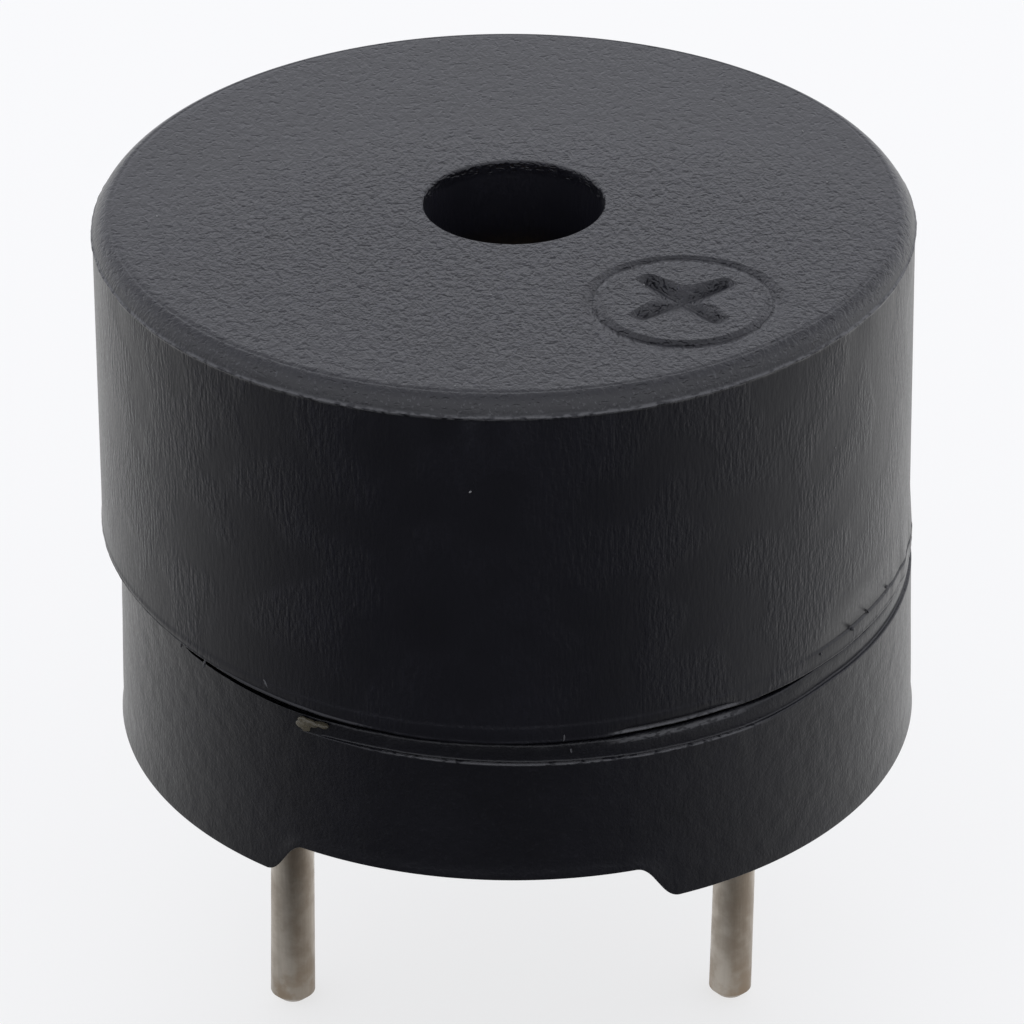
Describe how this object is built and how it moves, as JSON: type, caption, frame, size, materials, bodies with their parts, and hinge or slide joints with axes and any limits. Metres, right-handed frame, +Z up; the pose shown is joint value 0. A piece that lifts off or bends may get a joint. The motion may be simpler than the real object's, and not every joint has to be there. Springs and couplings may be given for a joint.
{
  "type": "piezo buzzer",
  "caption": "Round self-drive piezo buzzer with a two-part black case, a central sound hole, a sunk polarity mark and straight pins for a circuit board.",
  "frame": {"origin": "midway between the pins, on the plane of the base ring's feet that rests on the circuit board", "axes": "+Z up out of the sound hole, +X from the negative pin to the positive pin, +Y to the back"},
  "size_m": [0.0122, 0.0122, 0.0141],
  "materials": {
    "case_plastic": "fine moulded grain, matt",
    "base_plastic": "smooth, satin",
    "resin": "poured, glossy",
    "board": "solder mask, satin",
    "tinned_wire": "dull tin plate",
    "solder": "bright solder",
    "chip_plastic": "moulded, matt",
    "resistor_body": "glazed",
    "plate_brass": "rolled, satin",
    "adhesive": "silicone adhesive",
    "ceramic": "fired ceramic",
    "electrode": "printed silver",
    "lead_wire": "lacquered copper"
  },
  "bodies": {
    "root": {"top_case": "case_plastic", "base_ring": "base_plastic", "resin_fill": "resin", "driver_board": "board", "pin_positive": "tinned_wire", "pin_negative": "tinned_wire", "pin_solder_positive": "solder", "pin_solder_negative": "solder", "transistor_body": "chip_plastic", "transistor_legs": "tinned_wire", "resistor_bias": "resistor_body", "resistor_bias_ends": "solder", "resistor_load": "resistor_body", "resistor_load_ends": "solder", "resistor_base": "resistor_body", "resistor_base_ends": "solder", "diode_body": "chip_plastic", "diode_legs": "tinned_wire", "brass_plate": "plate_brass", "adhesive_ring": "adhesive", "piezo_ceramic": "ceramic", "main_electrode": "electrode", "feedback_electrode": "electrode", "lead_main": "lead_wire", "lead_feedback": "lead_wire", "lead_plate": "lead_wire", "dot_main_disc": "solder", "dot_main_board": "solder", "dot_feedback_disc": "solder", "dot_feedback_board": "solder", "dot_plate_disc": "solder", "dot_plate_board": "solder"}
  },
  "joints": []
}
